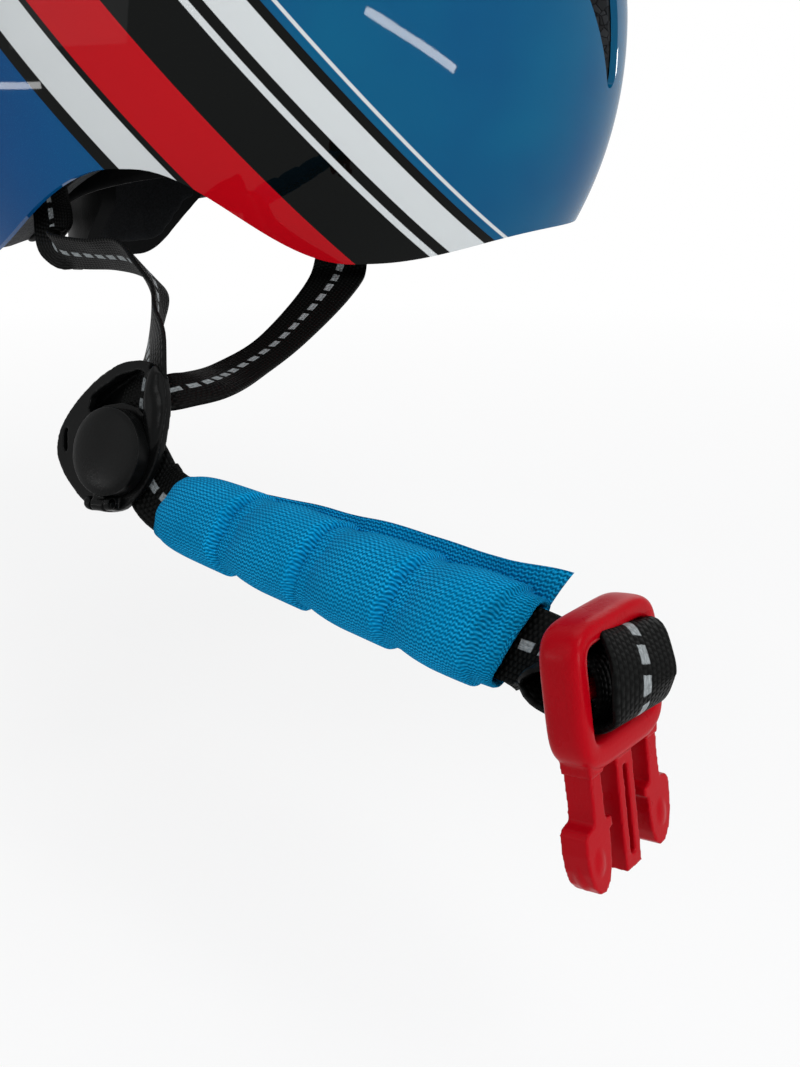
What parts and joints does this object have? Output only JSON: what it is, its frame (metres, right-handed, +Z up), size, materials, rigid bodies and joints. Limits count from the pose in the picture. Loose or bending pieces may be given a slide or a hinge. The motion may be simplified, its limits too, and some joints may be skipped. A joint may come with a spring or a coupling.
{
  "type": "bike helmet",
  "caption": "Child's bike helmet with gloss printed shell, foam liner, dial fit cradle, webbing harness, side dividers, padded chin strap and side release buckle.",
  "frame": {"origin": "seat of the head, in the rim plane on the middle line", "axes": "+X to the brow, +Y to the wearer's left, +Z up to the crown"},
  "size_m": [0.2664, 0.368, 0.2502],
  "materials": {
    "shell_blue": "gloss with printed graphics",
    "foam": "moulded bead foam",
    "pad_black": "brushed loop fabric",
    "webbing": "woven, with a dashed reflective line",
    "trim_black": "satin moulded",
    "pad_blue": "knitted, quilted",
    "buckle_red": "satin moulded",
    "hook_black": "hook tape",
    "steel": "zinc plated"
  },
  "bodies": {
    "helmet": {"outer_shell": "shell_blue", "foam_liner": "foam", "brow_pad": "pad_black", "crown_pad": "pad_black", "side_pad_right": "pad_black", "side_pad_left": "pad_black", "hook_discs": "hook_black", "front_strap_anchors": "trim_black", "rear_strap_anchors": "trim_black", "front_strap_right": "webbing", "rear_strap_right": "webbing", "front_strap_left": "webbing", "rear_strap_left": "webbing", "strap_keeper": "trim_black", "divider_frame_right": "trim_black", "divider_frame_left": "trim_black", "fit_band_right": "trim_black", "fit_band_left": "trim_black", "temple_studs": "trim_black"},
    "lever_right": {"divider_lever_right": "trim_black"},
    "lever_left": {"divider_lever_left": "trim_black"},
    "chin_sleeve": {"chin_pad": "pad_blue"},
    "male_buckle": {"buckle_male": "buckle_red"},
    "prong_near": {"buckle_prong_near": "buckle_red"},
    "prong_far": {"buckle_prong_far": "buckle_red"},
    "female_buckle": {"buckle_female": "buckle_red"},
    "cradle": {"cradle_plate": "trim_black", "cradle_cover": "trim_black", "cradle_pad": "pad_black", "cover_screws": "steel"},
    "dial": {"dial_knob": "trim_black", "dial_pinion": "trim_black", "dial_screw": "steel", "dial_washer": "steel"},
    "right_rack": {"rack_right": "trim_black"},
    "left_rack": {"rack_left": "trim_black"}
  },
  "joints": [
    {"name": "lever_right_turn", "type": "hinge", "parent": "helmet", "child": "lever_right", "pos_m": [-0.00116, -0.16698, -0.05081], "axis": [0.9262, -0.3715, 0.0646], "range_deg": [0, 100]},
    {"name": "lever_left_turn", "type": "hinge", "parent": "helmet", "child": "lever_left", "pos_m": [0.002, 0.10631, 0.10812], "axis": [1, 0, 0], "range_deg": [0, 100]},
    {"name": "chin_pad_slide", "type": "slide", "parent": "helmet", "child": "chin_sleeve", "axis": [0.8422, -0.5361, -0.0568], "range_m": [-0.003, 0.002]},
    {"name": "male_buckle_swing", "type": "hinge", "parent": "helmet", "child": "male_buckle", "pos_m": [0.1234, -0.23865, -0.0567], "axis": [0.5518, 0.8325, 0.0494], "range_deg": [-18, 18]},
    {"name": "prong_near_squeeze", "type": "hinge", "parent": "male_buckle", "child": "prong_near", "pos_m": [0.11976, -0.24784, -0.06963], "axis": [0.818, -0.5518, 0.1626], "range_deg": [0, 6], "stiffness_Nm_per_rad": 0.15},
    {"name": "prong_far_squeeze", "type": "hinge", "parent": "male_buckle", "child": "prong_far", "pos_m": [0.13113, -0.23069, -0.06861], "axis": [-0.818, 0.5518, -0.1626], "range_deg": [0, 6], "stiffness_Nm_per_rad": 0.15},
    {"name": "female_buckle_lift", "type": "hinge", "parent": "helmet", "child": "female_buckle", "pos_m": [0.009, 0.07924, 0.13393], "axis": [-1, 0, 0], "range_deg": [0, 60]},
    {"name": "cradle_slide", "type": "slide", "parent": "helmet", "child": "cradle", "axis": [1, 0, 0], "range_m": [0, 0.01]},
    {"name": "dial_turn", "type": "hinge", "parent": "cradle", "child": "dial", "pos_m": [-0.07866, 0, 0.015], "axis": [1, 0, 0], "range_deg": [0, 114.59]},
    {"name": "rack_right_draw", "type": "slide", "parent": "helmet", "child": "right_rack", "axis": [0.7071, 0.7071, 0], "range_m": [0, 0.01415], "deforming": ["fit_band_right"]},
    {"name": "rack_left_draw", "type": "slide", "parent": "helmet", "child": "left_rack", "axis": [0.7071, -0.7071, 0], "range_m": [0, 0.01415], "deforming": ["fit_band_left"]}
  ],
  "couplings": [
    {"joint": "dial_turn", "follows": "cradle_slide", "rad_per_m": 200},
    {"joint": "rack_right_draw", "follows": "cradle_slide", "ratio": 1.4142},
    {"joint": "rack_left_draw", "follows": "cradle_slide", "ratio": 1.4142}
  ]
}
